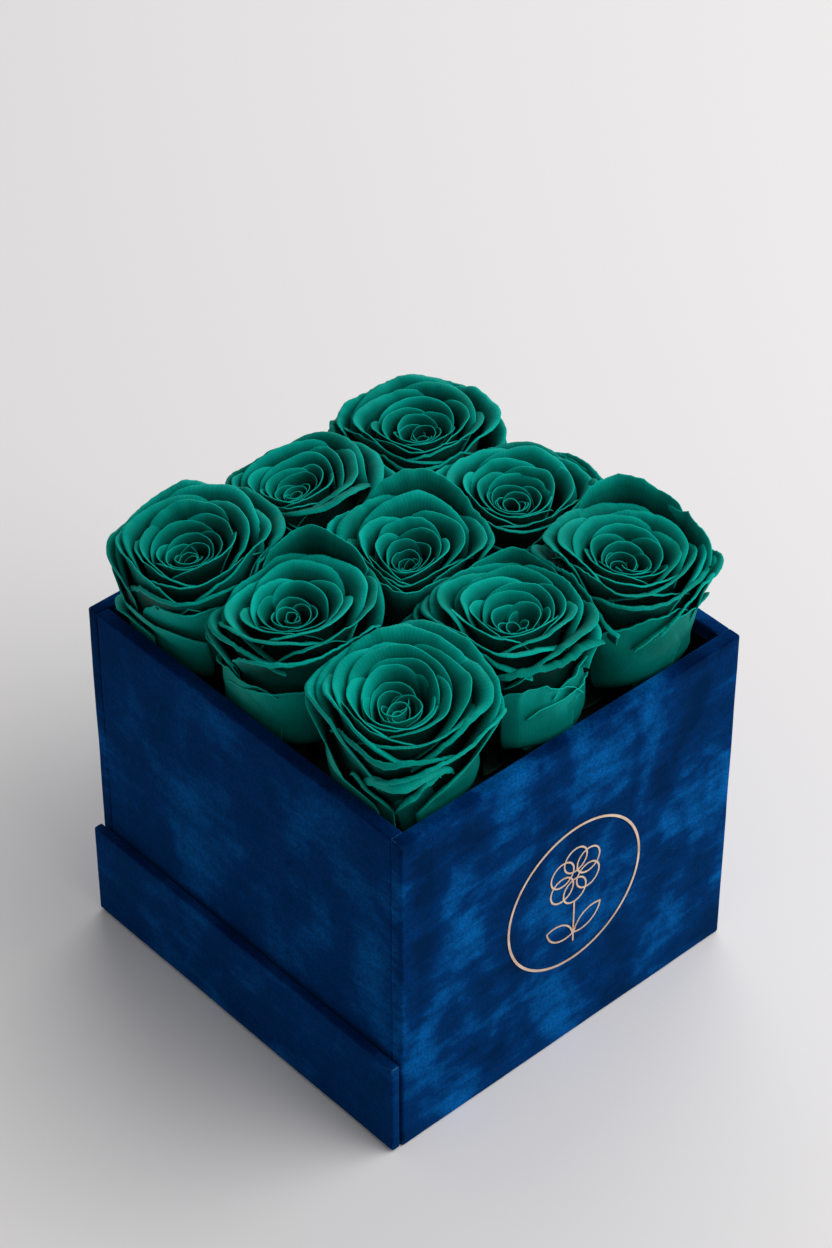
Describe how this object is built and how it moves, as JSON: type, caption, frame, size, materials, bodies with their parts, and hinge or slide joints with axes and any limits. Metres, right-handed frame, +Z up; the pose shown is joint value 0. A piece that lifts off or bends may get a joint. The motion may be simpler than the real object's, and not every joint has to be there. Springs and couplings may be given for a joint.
{
  "type": "flower box",
  "caption": "Square velvet-covered flower box with a low drawer in its base, an open top and a grid of full rose heads standing in foam.",
  "frame": {"origin": "on the table, under the middle of the whole footprint (box and closed drawer front)", "axes": "+Z up, -Y the way the drawer opens, +X the side with the gilt emblem"},
  "size_m": [0.1602, 0.159, 0.178],
  "materials": {
    "velvet": "short-pile blue velvet",
    "felt": "thin dark felt",
    "board": "grey board",
    "tray_board": "black-faced board",
    "black_paper": "matt black paper",
    "foam": "dark dry floral foam",
    "gilt_foil": "stamped pale gold foil",
    "petal": "preserved rose petal, teal green",
    "sepal": "dyed sepal and hip",
    "stem": "dried rose stem",
    "pad": "soft velvet pad"
  },
  "bodies": {
    "box": {"base_felt": "felt", "base_board": "board", "shelf_board": "board", "left_wall_board": "board", "right_wall_board": "board", "front_wall_board": "board", "back_wall_board": "board", "left_wall_velvet": "velvet", "right_wall_velvet": "velvet", "front_wall_velvet": "velvet", "back_wall_velvet": "velvet", "compartment_lining": "black_paper", "bay_sleeve": "black_paper", "foam_block": "foam", "foil_ring": "gilt_foil", "foil_flower": "gilt_foil", "rose_front_left_bloom": "petal", "rose_front_left_calyx": "sepal", "rose_front_left_stem": "stem", "rose_front_centre_bloom": "petal", "rose_front_centre_calyx": "sepal", "rose_front_centre_stem": "stem", "rose_front_right_bloom": "petal", "rose_front_right_calyx": "sepal", "rose_front_right_stem": "stem", "rose_middle_left_bloom": "petal", "rose_middle_left_calyx": "sepal", "rose_middle_left_stem": "stem", "rose_middle_centre_bloom": "petal", "rose_middle_centre_calyx": "sepal", "rose_middle_centre_stem": "stem", "rose_middle_right_bloom": "petal", "rose_middle_right_calyx": "sepal", "rose_middle_right_stem": "stem", "rose_back_left_bloom": "petal", "rose_back_left_calyx": "sepal", "rose_back_left_stem": "stem", "rose_back_centre_bloom": "petal", "rose_back_centre_calyx": "sepal", "rose_back_centre_stem": "stem", "rose_back_right_bloom": "petal", "rose_back_right_calyx": "sepal", "rose_back_right_stem": "stem"},
    "drawer": {"drawer_front_board": "board", "drawer_front_velvet": "velvet", "drawer_inner_front": "tray_board", "drawer_left_side": "tray_board", "drawer_right_side": "tray_board", "drawer_back": "tray_board", "drawer_floor": "tray_board", "drawer_lining": "velvet", "drawer_pad": "pad"}
  },
  "joints": [
    {"name": "drawer_slide", "type": "slide", "parent": "box", "child": "drawer", "axis": [0, -1, 0], "range_m": [0, 0.12]}
  ]
}
